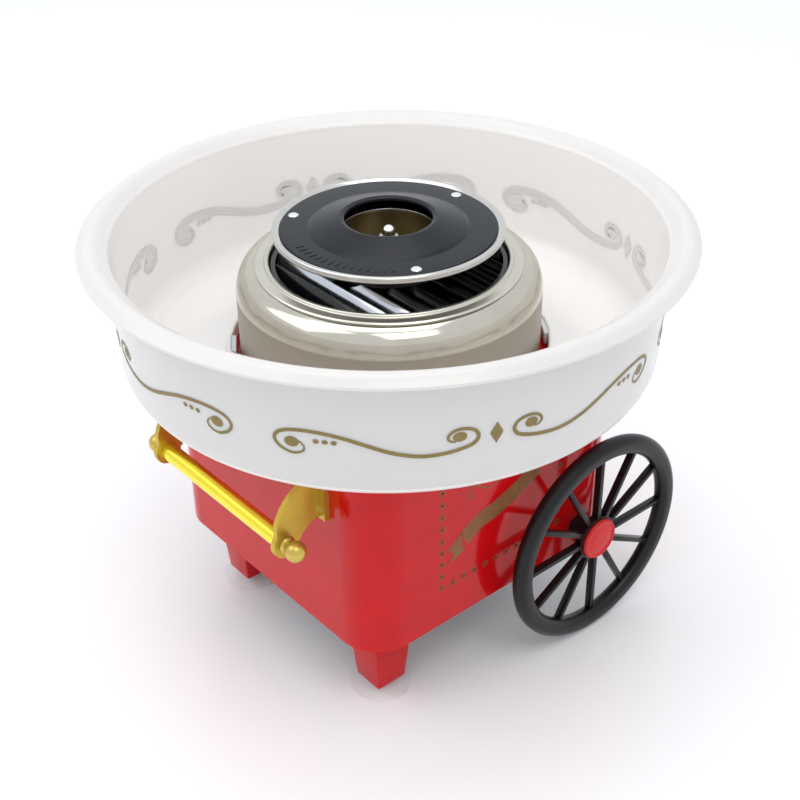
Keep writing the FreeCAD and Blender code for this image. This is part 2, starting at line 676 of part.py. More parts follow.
LUG_ANGLES = (25, 85, 145, 205, 265, 325)


def bowl():
    """White lift-off bowl with a rolled rim and a lugged collar round the drum."""
    wall, radius, crest, low = D.bowl_wall, D.bowl_radius, D.bowl_crest, D.bowl_bottom
    made = body("bowl")
    turn(made, [
        (D.bowl_hole, low), (134.4, low), (137.2, crest - 6.6), (radius - 6.5, crest - 2.0), (radius - 1, crest - 5.8),
        (radius, crest - 5.8), (radius, crest - 4.2), (radius - 2.5, crest - 1.4), (radius - 6.5, crest),
        (radius - 10.5, crest - 1.2), (134.6, crest - 5.0), (134.4 - wall, low + wall + 1.6), (88, low + wall),
        (D.bowl_hole + wall, low + wall), (D.bowl_hole + wall, low + 8), (D.bowl_hole, low + 8)])
    round_edges(made, 13.5, rim_at(134.4, low))
    round_edges(made, 10.8, rim_at(134.4 - wall, low + wall + 1.6))
    for angle in LUG_ANGLES:
        lug = outline(made, "XY_Plane", [
            (u * math.cos(math.radians(angle)) - v * math.sin(math.radians(angle)),
             u * math.sin(math.radians(angle)) + v * math.cos(math.radians(angle)))
            for u, v in ((78.2, -5), (81.5, -5), (81.5, 5), (78.2, 5))], low + 1)
        pad(made, lug, 4.0)
    keep("bowl", made)


# ---- electrics -------------------------------------------------------------------------------------

ROCKER_TILT = 8.0


def electrics():
    """Rocker switch and cord bush in the back wall, and a terminal block on the pan."""
    face = D.body_half
    frame = cut(box(2.0, 17.0, 23.2, face + 1.0, 0, SWITCH_Z - 11.6), box(2.0, 10.4, 16.6, face + 1.0, 0, SWITCH_Z - 8.3))
    case = cut(box(14.0, 12.8, 19.0, face - 7.0, 0, SWITCH_Z - 9.5), box(12.6, 10.4, 16.6, face - 6.3, 0, SWITCH_Z - 8.3))
    keep("switch_case", fuse(frame, case))
    rocker = body("rocker_block")
    deep = 5.5
    pad(rocker, outline(rocker, "XZ_Plane", [(-3, -7.4), (2.2, -7.4), (1.0, 0), (3.4, 7.2), (-3, 7.2)]), 9.8, both=True)
    place(rocker, face + 0.2, 0, SWITCH_Z)
    keep("switch_rocker", cut_pin(rocker, deep))
    pin = along_y(1.2, 10.4, face - 1.0, -5.2, SWITCH_Z)
    keep("rocker_pin", pin)
    flange = cut(along_x(GLAND_RADIUS + 2, 2.0, face, GLAND_Y, GLAND_Z), along_x(3.0, 2.0, face, GLAND_Y, GLAND_Z))
    neck = cut(along_x(GLAND_RADIUS, 6.0, face - 6, GLAND_Y, GLAND_Z), along_x(3.0, 6.0, face - 6, GLAND_Y, GLAND_Z))
    keep("cord_bush", fuse(flange, neck))
    block = box(14, 30, 12, 20, 64, D.body_bottom + D.plate_thick)
    holes = [cylinder(2.2, 6, 20, 54 + step * 10, D.body_bottom + D.plate_thick + 6) for step in range(3)]
    keep("terminal_block", cut(block, *holes))


def cut_pin(rocker, deep):
    """The rocker with a running bore for its pin."""
    bore = along_y(1.2 + 0.06, deep * 4, D.body_half - 1.0, -deep * 2, SWITCH_Z)
    return cut(rocker, bore)


# ---- make, test and export -------------------------------------------------------------------------

def main():
    for make in (base_housing, bottom_plate, plate_screws, legs, wheels, handle, drum, guard, drive, heater,
                 head, bowl, electrics):
        make()
    DOCUMENT.recompute()
    for item in DOCUMENT.Objects:
        if {"Invalid", "Error"} & set(item.State):
            raise RuntimeError(f"{item.Label} failed: {item.State}")
    for piece in PIECES:
        if piece.Shape.isNull() or not piece.Shape.isValid() or not piece.Shape.Solids:
            raise RuntimeError(f"{piece.Label} has no valid solid")
    os.makedirs("parts", exist_ok=True)
    for piece in PIECES:
        piece.Shape.exportStep(f"parts/{piece.Label}.step")
        print(f"{piece.Label}: {len(piece.Shape.Solids)} solids, {piece.Shape.Volume:.0f} mm3")


main()
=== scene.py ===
"""Cotton candy machine: the looks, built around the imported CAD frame. Metres, +Z up."""

import json
import math

import bmesh
import bpy
from mathutils import Matrix, Vector


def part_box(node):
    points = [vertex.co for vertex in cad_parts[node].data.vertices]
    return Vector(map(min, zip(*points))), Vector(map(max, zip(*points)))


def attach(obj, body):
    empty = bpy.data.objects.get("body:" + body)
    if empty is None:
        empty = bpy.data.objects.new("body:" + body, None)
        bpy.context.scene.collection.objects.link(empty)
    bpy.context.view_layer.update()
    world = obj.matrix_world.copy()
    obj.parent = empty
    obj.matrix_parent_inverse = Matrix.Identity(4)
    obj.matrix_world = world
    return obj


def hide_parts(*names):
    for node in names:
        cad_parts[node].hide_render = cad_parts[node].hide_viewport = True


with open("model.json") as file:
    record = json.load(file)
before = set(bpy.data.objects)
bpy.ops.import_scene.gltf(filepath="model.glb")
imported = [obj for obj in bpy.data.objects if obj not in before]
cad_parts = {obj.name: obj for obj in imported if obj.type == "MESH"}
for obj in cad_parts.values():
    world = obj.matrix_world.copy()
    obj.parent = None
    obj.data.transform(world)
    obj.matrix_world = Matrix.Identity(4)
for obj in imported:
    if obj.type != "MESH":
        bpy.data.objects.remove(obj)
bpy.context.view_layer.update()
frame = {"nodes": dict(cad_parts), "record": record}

MM = 0.001
TURN = 2 * math.pi


# ---- mesh helpers ----------------------------------------------------------------------------------

def add_mesh(name, points, faces, smooth=True):
    """A mesh object from points and faces, linked to the scene."""
    mesh = bpy.data.meshes.new(name)
    mesh.from_pydata([tuple(p) for p in points], [], faces)
    mesh.validate()
    for polygon in mesh.polygons:
        polygon.use_smooth = smooth
    made = bpy.data.objects.new(name, mesh)
    bpy.context.scene.collection.objects.link(made)
    return made


def rounded_path(corners, closed=False, steps=6):
    """Points along a polyline whose corners (u, v, radius) are rounded by tangent arcs."""
    points = []
    count = len(corners)
    for index, (u, v, radius) in enumerate(corners):
        here = Vector((u, v))
        if radius <= 0 or (not closed and index in (0, count - 1)):
            points.append(here)
            continue
        back = Vector(corners[index - 1][:2]) - here
        ahead = Vector(corners[(index + 1) % count][:2]) - here
        half = back.angle(ahead) / 2
        reach = min(radius / math.tan(half), back.length * 0.5, ahead.length * 0.5)
        radius = reach * math.tan(half)
        start = here + back.normalized() * reach
        end = here + ahead.normalized() * reach
        centre = here + (back.normalized() + ahead.normalized()).normalized() * (radius / math.sin(half))
        begin = start - centre
        sweep = begin.angle_signed(end - centre)
        for step in range(steps + 1):
            turned = -sweep * step / steps
            points.append(centre + Matrix.Rotation(turned, 2) @ begin)
    return [(p.x, p.y) for p in points]


def lathe(name, profile, segments=160, closed=False):
    """A solid or skin of revolution about Z from (radius, z) points in millimetres."""
    points, rings = [], []
    for radius, z in profile:
        if radius < 1e-6:
            rings.append([len(points)])
            points.append((0, 0, z * MM))
            continue
        rings.append(list(range(len(points), len(points) + segments)))
        for index in range(segments):
            angle = TURN * index / segments
            points.append((radius * MM * math.cos(angle), radius * MM * math.sin(angle), z * MM))
    faces = []
    pairs = list(zip(rings, rings[1:])) + ([(rings[-1], rings[0])] if closed else [])
    for low, high in pairs:
        for index in range(segments):
            following = (index + 1) % segments
            if len(low) == 1 and len(high) == 1:
                continue
            if len(low) == 1:
                faces.append((low[0], high[following], high[index]))
            elif len(high) == 1:
                faces.append((low[index], low[following], high[0]))
            else:
                faces.append((low[index], low[following], high[following], high[index]))
    made = add_mesh(name, points, faces)
    fix_normals(made)
    return made


def fix_normals(thing):
    """Point every face of a closed mesh outwards."""
    work = bmesh.new()
    work.from_mesh(thing.data)
    bmesh.ops.recalc_face_normals(work, faces=work.faces)
    work.to_mesh(thing.data)
    work.free()


def move(thing, matrix):
    """Place a mesh by changing its vertices, so its object stays at the origin."""
    thing.data.transform(matrix)
    thing.data.update()
    return thing


def axis_to_y(side):
    """Turns +Z to +Y or -Y."""
    return Matrix.Rotation(math.radians(-90 * side), 4, "X")


def bevelled(name, solid, width, segments=3):
    """Round the edges of a mesh object by a width in millimetres."""
    work = bmesh.new()
    work.from_mesh(solid.data)
    bmesh.ops.remove_doubles(work, verts=work.verts, dist=1e-6)
    sharp = [edge for edge in work.edges if len(edge.link_faces) == 2 and edge.calc_face_angle() > 0.5]
    bmesh.ops.bevel(work, geom=sharp, offset=width * MM, segments=segments, profile=0.5, affect="EDGES",
                    clamp_overlap=True)
    bmesh.ops.recalc_face_normals(work, faces=work.faces)
    work.to_mesh(solid.data)
    work.free()
    solid.name = name
    smooth_by_angle(solid, 30)
    return solid


def smooth_by_angle(thing, degrees):
    """Smooth shading, with edges sharper than an angle kept crisp."""
    thing.data.shade_smooth()
    thing.data.set_sharp_from_angle(angle=math.radians(degrees))


def joined(name, things):
    """Several mesh objects as one."""
    work = bmesh.new()
    for thing in things:
        work.from_mesh(thing.data)
    mesh = bpy.data.meshes.new(name)
    work.to_mesh(mesh)
    work.free()
    for thing in things:
        old = thing.data
        bpy.data.objects.remove(thing)
        bpy.data.meshes.remove(old)
    made = bpy.data.objects.new(name, mesh)
    bpy.context.scene.collection.objects.link(made)
    return made


def rectangle(near, far, half_width):
    """Corners of a rectangle that reaches along +X, centred on the X axis."""
    return [(near, -half_width), (far, -half_width), (far, half_width), (near, half_width)]


def prism(name, outline, low, high):
    """A straight prism from an outline of (x, y) points in millimetres between two heights."""
    count = len(outline)
    points = [(x * MM, y * MM, z * MM) for z in (low, high) for x, y in outline]
    faces = [tuple(range(count)), tuple(range(2 * count - 1, count - 1, -1))]
    faces += [(i, (i + 1) % count, count + (i + 1) % count, count + i) for i in range(count)]
    made = add_mesh(name, points, faces, smooth=False)
    fix_normals(made)
    return made


# ---- materials -------------------------------------------------------------------------------------

def material(name, colour, roughness, metallic=0.0, vary=0.06, bump=0.02, scale=60.0, coat=0.0, **sockets):
    """A procedural material: colour and roughness drift with soft noise, and a fine bump breaks the gloss."""
    made = bpy.data.materials.new(name)
    made.use_nodes = True
    nodes, links = made.node_tree.nodes, made.node_tree.links
    shader = nodes["Principled BSDF"]
    shader.inputs["Metallic"].default_value = metallic
    shader.inputs["Coat Weight"].default_value = coat
    for socket, value in sockets.items():
        shader.inputs[socket.replace("_", " ")].default_value = value
    place = nodes.new("ShaderNodeTexCoord")
    cloud = nodes.new("ShaderNodeTexNoise")
    cloud.inputs["Scale"].default_value = scale
    cloud.inputs["Detail"].default_value = 4.0
    links.new(place.outputs["Object"], cloud.inputs["Vector"])
    tint = nodes.new("ShaderNodeValToRGB")
    dark = [max(0.0, c * (1 - vary)) for c in colour[:3]] + [1]
    light = [min(1.0, c * (1 + vary)) for c in colour[:3]] + [1]
    tint.color_ramp.elements[0].position, tint.color_ramp.elements[1].position = 0.3, 0.7
    tint.color_ramp.elements[0].color, tint.color_ramp.elements[1].color = dark, light
    links.new(cloud.outputs["Fac"], tint.inputs["Fac"])
    links.new(tint.outputs["Color"], shader.inputs["Base Color"])
    rough = nodes.new("ShaderNodeMapRange")
    rough.inputs["To Min"].default_value = roughness * 0.8
    rough.inputs["To Max"].default_value = min(1.0, roughness * 1.25)
    links.new(cloud.outputs["Fac"], rough.inputs["Value"])
    links.new(rough.outputs["Result"], shader.inputs["Roughness"])
    if bump:
        grain = nodes.new("ShaderNodeTexNoise")
        grain.inputs["Scale"].default_value = scale * 12
        links.new(place.outputs["Object"], grain.inputs["Vector"])
        relief = nodes.new("ShaderNodeBump")
        relief.inputs["Strength"].default_value = bump
        relief.inputs["Distance"].default_value = 0.0005
        links.new(grain.outputs["Fac"], relief.inputs["Height"])
        links.new(relief.outputs["Normal"], shader.inputs["Normal"])
    return made


def spun_metal(name, colour, roughness, streak=0.25, axis="Z", density=900.0, bump=0.05, satin_below=None):
    """Metal with fine turned lines round its axis: noise stretched along the circumference."""
    made = material(name, colour, roughness, metallic=1.0, vary=0.04, bump=0)
    nodes, links = made.node_tree.nodes, made.node_tree.links
    shader = nodes["Principled BSDF"]
    place = nodes.new("ShaderNodeTexCoord")
    split = nodes.new("ShaderNodeSeparateXYZ")
    links.new(place.outputs["Object"], split.inputs["Vector"])
    others = [a for a in "XYZ" if a != axis]
    squares = []
    for a in others:
        square = nodes.new("ShaderNodeMath")
        square.operation = "POWER"
        square.inputs[1].default_value = 2.0
        links.new(split.outputs[a], square.inputs[0])
        squares.append(square)
    total = nodes.new("ShaderNodeMath")
    links.new(squares[0].outputs[0], total.inputs[0])
    links.new(squares[1].outputs[0], total.inputs[1])
    radius = nodes.new("ShaderNodeMath")
    radius.operation = "SQRT"
    links.new(total.outputs[0], radius.inputs[0])
    lines = nodes.new("ShaderNodeCombineXYZ")
    links.new(radius.outputs[0], lines.inputs["X"])
    links.new(split.outputs[axis], lines.inputs["Y"])
    fine = nodes.new("ShaderNodeTexNoise")
    fine.inputs["Scale"].default_value = density
    fine.inputs["Detail"].default_value = 3.0
    links.new(lines.outputs["Vector"], fine.inputs["Vector"])
    rough = nodes.new("ShaderNodeMapRange")
    rough.inputs["To Min"].default_value = roughness * (1 - streak)
    rough.inputs["To Max"].default_value = roughness * (1 + streak)
    links.new(fine.outputs["Fac"], rough.inputs["Value"])
    links.new(rough.outputs["Result"], shader.inputs["Roughness"])
    if satin_below:
        wall = nodes.new("ShaderNodeMapRange")
        wall.inputs["From Min"].default_value = satin_below + 0.0006
        wall.inputs["From Max"].default_value = satin_below - 0.0006
        links.new(split.outputs["Z"], wall.inputs["Value"])
        duller = nodes.new("ShaderNodeMath")
        duller.operation = "MULTIPLY_ADD"
        duller.inputs[1].default_value = 0.3
        links.new(wall.outputs["Result"], duller.inputs[0])
        links.new(rough.outputs["Result"], duller.inputs[2])
        links.new(duller.outputs["Value"], shader.inputs["Roughness"])
        blend = nodes.new("ShaderNodeMixRGB")
        blend.inputs["Color2"].default_value = (0.36, 0.325, 0.27, 1)
        links.new(wall.outputs["Result"], blend.inputs["Fac"])
        links.new(nodes["Color Ramp"].outputs["Color"], blend.inputs["Color1"])
        links.new(blend.outputs["Color"], shader.inputs["Base Color"])
    relief = nodes.new("ShaderNodeBump")
    relief.inputs["Strength"].default_value = bump
    relief.inputs["Distance"].default_value = 0.0002
    links.new(fine.outputs["Fac"], relief.inputs["Height"])
    links.new(relief.outputs["Normal"], shader.inputs["Normal"])
    return made


# How the milky plastic takes light: hardly any grain, and a few millimetres of glow under the surface.
MILKY = {"vary": 0.01, "bump": 0.01, "scale": 12, "Subsurface_Weight": 0.6, "Subsurface_Scale": 0.006,
         "Subsurface_Radius": (1.0, 0.85, 0.75)}
# Height in metres under which the drum's wall is satin; the shoulder above it is polished.
SATIN_BELOW = 0.1918
BOWL_OUTSIDE = (0.65, 0.64, 0.63)
# The inner side's colour is painted light: paler than the outside, standing in for light that comes through
# the thin wall.
BOWL_INSIDE_PAINTED_LIGHT = (0.86, 0.835, 0.82)
RED = (0.56, 0.004, 0.006)
MATERIALS = {
    "red_shell": material("red_gloss", RED, 0.10, Specular_IOR_Level=0.27, vary=0.05, bump=0.01),
    "red_legs": material("red_legs_gloss", RED, 0.16, Specular_IOR_Level=0.2, vary=0.05, bump=0.02),
    "red_caps": material("red_cap_gloss", (0.58, 0.012, 0.014), 0.3, Specular_IOR_Level=0.3),
    "dark_plastic": material("dark_plastic_mould", (0.02, 0.02, 0.022), 0.5, bump=0.2),
    "zinc_screws": material("zinc_plate", (0.62, 0.62, 0.60), 0.3, metallic=1.0),
    "clear_rubber": material("clear_vinyl", (0.93, 0.94, 0.95), 0.08, Alpha=0.22, bump=0.0),
    "wheel_black": material("wheel_black_satin", (0.006, 0.006, 0.0065), 0.3, Specular_IOR_Level=0.32,
                            vary=0.2, bump=0.05),
    "zinc_steel": spun_metal("turned_zinc_steel", (0.60, 0.60, 0.60), 0.28, axis="Y"),
    "gold_bar": material("gold_bar_plate", (1.0, 0.80, 0.07), 0.2, metallic=0.9, vary=0.04, bump=0.01),
    "gold_brackets": material("gold_bracket_paint", (0.60, 0.42, 0.06), 0.36, metallic=0.75,
                              vary=0.1, bump=0.05),
    "gold_knobs": material("gold_knob_paint", (0.62, 0.46, 0.10), 0.28, metallic=0.8, vary=0.08, bump=0.03),
    "drum_steel": spun_metal("spun_steel", (0.60, 0.57, 0.49), 0.13, streak=0.3, bump=0.05,
                             satin_below=SATIN_BELOW),
    "collar_steel": spun_metal("satin_steel", (0.66, 0.64, 0.56), 0.3, streak=0.2, bump=0.06),
    "shield_steel": spun_metal("shield_plate", (0.45, 0.44, 0.43), 0.4),
    "guard_black": material("guard_gloss_black", (0.006, 0.006, 0.007), 0.12, vary=0.2, bump=0.02),
    "motor_steel": spun_metal("motor_plate", (0.50, 0.50, 0.50), 0.35),
    "bronze": material("oiled_bronze", (0.45, 0.30, 0.12), 0.35, metallic=1.0),
    "magnet": material("ferrite", (0.04, 0.04, 0.045), 0.6, bump=0.2),
    "rotor_iron": material("laminations", (0.22, 0.17, 0.12), 0.45, metallic=0.9, bump=0.2),
    "grommet_rubber": material("grommet_black", (0.015, 0.015, 0.015), 0.7, bump=0.1),
    "heater_metal": material("heater_tube", (0.16, 0.13, 0.11), 0.45, metallic=0.9, vary=0.3),
    "ceramic": material("steatite", (0.80, 0.77, 0.70), 0.55, bump=0.1),
    "cup_aluminium": spun_metal("tinted_cup", (0.42, 0.36, 0.24), 0.32, streak=0.3),
    "band_steel": spun_metal("band_strip", (0.40, 0.38, 0.34), 0.4),
    "disc_steel": spun_metal("polished_disc", (0.66, 0.65, 0.62), 0.14, streak=0.3, bump=0.03),
    "cover_black": material("cover_satin_black", (0.010, 0.012, 0.015), 0.26, Specular_IOR_Level=0.24,
                            vary=0.12, bump=0.04, scale=90),
    "rivet_metal": material("rivet_bright", (0.92, 0.92, 0.90), 0.18, metallic=1.0),
    "bowl_white": material("bowl_milk", BOWL_OUTSIDE, 0.2, **MILKY),
    "switch_black": material("switch_plastic", (0.015, 0.015, 0.016), 0.25, bump=0.05),
    "terminal_white": material("nylon", (0.78, 0.77, 0.74), 0.5, bump=0.1),
}
PRINT_OLIVE = material("print_olive_bronze", (0.235, 0.175, 0.055), 0.42, metallic=0.35,
                       vary=0.12, bump=0.08, scale=200)
# Painted highlight: a bright metal colour for two of the black guard's slats, standing in for the light they
# catch.
SLAT_PAINTED_HIGHLIGHT = material("slat_painted_highlight", (0.62, 0.65, 0.70), 0.14, metallic=0.95, vary=0.1, bump=0.02)
PRINT_BROWN = material("print_gold_brown", (0.26, 0.10, 0.03), 0.38, metallic=0.25,
                       vary=0.18, bump=0.08, scale=200)


def dress_cad():
    """Give every CAD node its slot's material."""
    slots = {part["node"]: part["material_slot"] for part in frame["record"]["subparts"]}
    for node, thing in frame["nodes"].items():
        chosen = MATERIALS[slots[node]]
        if not thing.material_slots:
            thing.data.materials.append(chosen)
        for slot in thing.material_slots:
            slot.material = chosen


def finish_piece(piece, body, slot, *nodes, paint=None):
    """Ride, replace and paint in one place: the slot's material unless a paint is given."""
    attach(piece, body)
    if nodes:
        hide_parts(*nodes)
    piece.data.materials.clear()
    piece.data.materials.append(paint or MATERIALS[slot])
    return piece


def size_of(node):
    """A node's box in millimetres: lowest corner, highest corner."""
    low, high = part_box(node)
    return [v * 1000 for v in low], [v * 1000 for v in high]


# ---- bowl ------------------------------------------------------------------------------------------

BOWL_LOW, BOWL_HIGH = size_of("bowl")
RIM = BOWL_HIGH[0]
CREST = BOWL_HIGH[2]
FLOOR = BOWL_LOW[2]
HOLE = 80.5
WALL_LOW, WALL_HIGH = 134.4, 137.2
SHELL = 2.7
LUG_ANGLES = (25, 85, 145, 205, 265, 325)
LUG_NEAR, LUG_FAR, LUG_HALF_WIDTH = 78.2, 81.2, 8


def paint_light_inside(made):
    """Painted light: lift the bowl's colour on its inner side, standing in for the light that comes through
    the thin wall.
    """
    nodes, links = made.node_tree.nodes, made.node_tree.links
    place = nodes.new("ShaderNodeTexCoord")
    split = nodes.new("ShaderNodeSeparateXYZ")
    links.new(place.outputs["Object"], split.inputs["Vector"])
    flat = nodes.new("ShaderNodeCombineXYZ")
    links.new(split.outputs["X"], flat.inputs["X"])
    links.new(split.outputs["Y"], flat.inputs["Y"])
    radius = nodes.new("ShaderNodeVectorMath")
    radius.operation = "LENGTH"
    links.new(flat.outputs["Vector"], radius.inputs[0])
    edge = nodes.new("ShaderNodeMath")
    edge.operation = "MULTIPLY_ADD"
    edge.inputs[1].default_value = -(WALL_HIGH - WALL_LOW) / (CREST - 6.6 - FLOOR)
    links.new(split.outputs["Z"], edge.inputs[0])
    links.new(radius.outputs["Value"], edge.inputs[2])
    middle = (WALL_LOW - SHELL / 2 - (WALL_HIGH - WALL_LOW) * FLOOR / (CREST - 6.6 - FLOOR)) * MM
    inner = nodes.new("ShaderNodeMapRange")
    inner.inputs["From Min"].default_value = middle + 0.0003
    inner.inputs["From Max"].default_value = middle - 0.0003
    links.new(edge.outputs["Value"], inner.inputs["Value"])
    below = nodes.new("ShaderNodeMapRange")
    below.inputs["From Min"].default_value = (CREST - 3.0) * MM
    below.inputs["From Max"].default_value = (CREST - 8.0) * MM
    links.new(split.outputs["Z"], below.inputs["Value"])
    both = nodes.new("ShaderNodeMath")
    both.operation = "MULTIPLY"
    links.new(inner.outputs["Result"], both.inputs[0])
    links.new(below.outputs["Result"], both.inputs[1])
    blend = nodes.new("ShaderNodeMixRGB")
    blend.inputs["Color2"].default_value = (*BOWL_INSIDE_PAINTED_LIGHT, 1)
    links.new(both.outputs["Value"], blend.inputs["Fac"])
    links.new(nodes["Color Ramp"].outputs["Color"], blend.inputs["Color1"])
    links.new(blend.outputs["Color"], nodes["Principled BSDF"].inputs["Base Color"])


def wall_radius(z):
    """Outer radius of the bowl's wall at a height."""
    return WALL_LOW + (WALL_HIGH - WALL_LOW) * (z - FLOOR) / (CREST - 6.6 - FLOOR)


def bowl():
    """Milky bowl: rolled rim, near-upright wall, round corner and a lugged collar."""
    profile = rounded_path([
        (HOLE, FLOOR, 0.6), (WALL_LOW, FLOOR, 13.5), (WALL_HIGH, CREST - 6.6, 2.0), (RIM - 7, CREST - 2.4, 5),
        (RIM - 1.4, CREST - 6.0, 0.5), (RIM - 0.4, CREST - 6.0, 0.5), (RIM, CREST - 4.4, 0.9),
        (RIM - 6.5, CREST + 0.15, 7.5), (WALL_LOW + 0.4, CREST - 5.4, 3.0),
        (WALL_LOW - SHELL, FLOOR + SHELL + 1.6, 11.0), (88, FLOOR + SHELL, 4),
        (HOLE + SHELL, FLOOR + SHELL, 1.4), (HOLE + SHELL, FLOOR + 8, 1.0), (HOLE, FLOOR + 8, 1.0),
    ], closed=True, steps=8)
    shell = lathe("bowl_shell", profile, segments=240, closed=True)
    smooth_by_angle(shell, 40)
    lugs = []
    for angle in LUG_ANGLES:
        block = prism("lug", rectangle(LUG_NEAR, LUG_FAR, LUG_HALF_WIDTH), FLOOR + 1, FLOOR + 7.6)
        block = bevelled("lug", block, 0.5, 2)
        lugs.append(move(block, Matrix.Rotation(math.radians(angle), 4, "Z")))
    whole = joined("bowl_shell", [shell, *lugs])
    paint_light_inside(MATERIALS["bowl_white"])
    finish_piece(whole, "bowl", "bowl_white", "bowl")


PRINT_MIDDLE = 187.4
UNIT_TURNS = 4
FIRST_DIAMOND = math.radians(-110.7)
# Half of one printed unit, in millimetres along the wall from the diamond and up from the middle line.
SCROLL_LINE = [
    (18.2, -1.6), (20.9, -0.6), (21.4, 1.8), (19.0, 4.2), (14.6, 4.9), (10.0, 3.4), (8.2, 0.0), (10.2, -3.4),
    (15.5, -5.4), (24.0, -7.0), (34.0, -7.2), (45.0, -5.0), (56.0, -1.2), (66.0, 2.0), (77.0, 3.8),
    (87.0, 3.7),
    (93.4, 1.9), (96.0, -1.6), (94.0, -5.6), (88.5, -8.3), (83.8, -7.2), (82.6, -4.6), (84.6, -1.9),
]
# Each spot: place along the wall, height, half width, half height.
SCROLL_SPOTS = [
    (16.4, 0.9, 3.1, 2.5), (88.2, -2.6, 3.3, 2.7),
    (69.6, -0.9, 1.35, 1.15), (73.5, -0.8, 1.35, 1.15), (77.4, -0.9, 1.35, 1.15),
]
DIAMOND = [(0, 5.6), (3.0, 0), (0, -5.6), (-3.0, 0)]


def spline(points, steps=10):
    """A Catmull-Rom curve through points."""
    ends = [points[0]] + list(points) + [points[-1]]
    made = []
    for a, b, c, d in zip(ends, ends[1:], ends[2:], ends[3:]):
        for step in range(steps):
            t = step / steps
            made.append(tuple(0.5 * (2 * q + (r - p) * t + (2 * p - 5 * q + 4 * r - s) * t * t
                                     + (3 * q - p - 3 * r + s) * t ** 3) for p, q, r, s in zip(a, b, c, d)))
    made.append(points[-1])
    return made


def ribbon(path, width):
    """Left and right edges of a line whose half width is a function of its share of the length."""
    edges = []
    count = len(path)
    for index, here in enumerate(path):
        before, after = path[max(0, index - 1)], path[min(count - 1, index + 1)]
        along = Vector((after[0] - before[0], after[1] - before[1])).normalized()
        across = Vector((-along.y, along.x)) * width(index / (count - 1))
        left = (here[0] + across.x, here[1] + across.y)
        right = (here[0] - across.x, here[1] - across.y)
        edges.append((left, here, right))
    return edges


def scroll_flats(widen):
    """The print as flat strips and patches of points, faces and weights: 1 in the middle, 0 at an edge."""
    flats = []
    swell = widen ** 0.3

    def line_width(share):
        return (0.42 + 0.55 * math.sin(math.pi * min(1, share * 1.04)) ** 0.7) * widen

    edges = ribbon(spline(SCROLL_LINE), line_width)
    for mirrored in (1, -1):
        points = [(mirrored * p[0], p[1]) for trio in edges for p in trio]
        weights = [w for _ in edges for w in (0, 1, 0)]
        faces = []
        for index in range(len(edges) - 1):
            for lane in (0, 1):
                a = index * 3 + lane
                faces.append((a, a + 1, a + 4, a + 3))
        flats.append((points, faces, weights))
        for u, v, half_u, half_v in SCROLL_SPOTS:
            around = 24
            points = [(mirrored * u, v)]
            for index in range(around):
                angle = TURN * index / around
                points.append((mirrored * u + half_u * swell * math.cos(angle),
                               v + half_v * swell * math.sin(angle)))
            faces = [(0, 1 + index, 1 + (index + 1) % around) for index in range(around)]
            flats.append((points, faces, [1] + [0] * around))
    points = [(0, 0)] + [(u * swell, v * swell) for u, v in DIAMOND]
    flats.append((points, [(0, 1, 2), (0, 2, 3), (0, 3, 4), (0, 4, 1)], [1, 0, 0, 0, 0]))
    return flats


def wrapped_print(name, lift, widen):
    """The scrolls wrapped round the wall, four units, at a lift from the outer surface in millimetres."""
    points, faces, weights = [], [], []
    for unit in range(UNIT_TURNS):
        middle = FIRST_DIAMOND + TURN * unit / UNIT_TURNS
        for flat_points, flat_faces, flat_weights in scroll_flats(widen):
            base = len(points)
            for u, v in flat_points:
                z = PRINT_MIDDLE + v
                radius = wall_radius(z)
                angle = middle + u / radius
                reach = (radius + lift) * MM
                points.append((reach * math.cos(angle), reach * math.sin(angle), z * MM))
            faces += [tuple(base + i for i in face) for face in flat_faces]
            weights += flat_weights
    made = add_mesh(name, points, faces)
    shade = made.data.attributes.new("shade", "FLOAT", "POINT")
    shade.data.foreach_set("value", weights)
    outward = 1 if lift > 0 else -1
    work = bmesh.new()
    work.from_mesh(made.data)
    bmesh.ops.recalc_face_normals(work, faces=work.faces)
    for face in work.faces:
        centre = face.calc_center_median()
        if face.normal.dot(Vector((centre.x, centre.y, 0))) * outward < 0:
            face.normal_flip()
    work.to_mesh(made.data)
    work.free()
    return made


def bowl_prints():
    """Olive-bronze scrolls outside, and their faint shadow through the wall inside."""
    outside = wrapped_print("bowl_scroll_print", 0.12, 1.0)
    finish_piece(outside, "bowl", "bowl_white", paint=PRINT_OLIVE)
    # The ghost's base colour is the inner side's painted light, darkened by the print's painted shadow.
    ghost = material("print_shadow", BOWL_INSIDE_PAINTED_LIGHT, 0.2, **MILKY)
    nodes, links = ghost.node_tree.nodes, ghost.node_tree.links
    weight = nodes.new("ShaderNodeAttribute")
    weight.attribute_name = "shade"
    soft = nodes.new("ShaderNodeMapRange")
    soft.interpolation_type = "SMOOTHSTEP"
    soft.inputs["To Max"].default_value = 0.24
    links.new(weight.outputs["Fac"], soft.inputs["Value"])
    blend = nodes.new("ShaderNodeMixRGB")
    blend.inputs["Color2"].default_value = (0.45, 0.42, 0.38, 1)
    tint = nodes["Color Ramp"]
    links.new(soft.outputs["Result"], blend.inputs["Fac"])
    links.new(tint.outputs["Color"], blend.inputs["Color1"])
    links.new(blend.outputs["Color"], nodes["Principled BSDF"].inputs["Base Color"])
    inside = wrapped_print("bowl_scroll_shadow", -SHELL - 0.12, 2.2)
    finish_piece(inside, "bowl", "bowl_white", paint=ghost)


# ---- drum ------------------------------------------------------------------------------------------

DRUM_LOW, DRUM_HIGH = size_of("drum_shell")
DRUM_RADIUS = DRUM_HIGH[0]
DRUM_TOP = DRUM_HIGH[2]
COLLAR_HIGH = size_of("drum_collar")[1]
MOUTH = 59.4
SEAM_RADIUS = 67
SHOULDER_DROP = 13.0


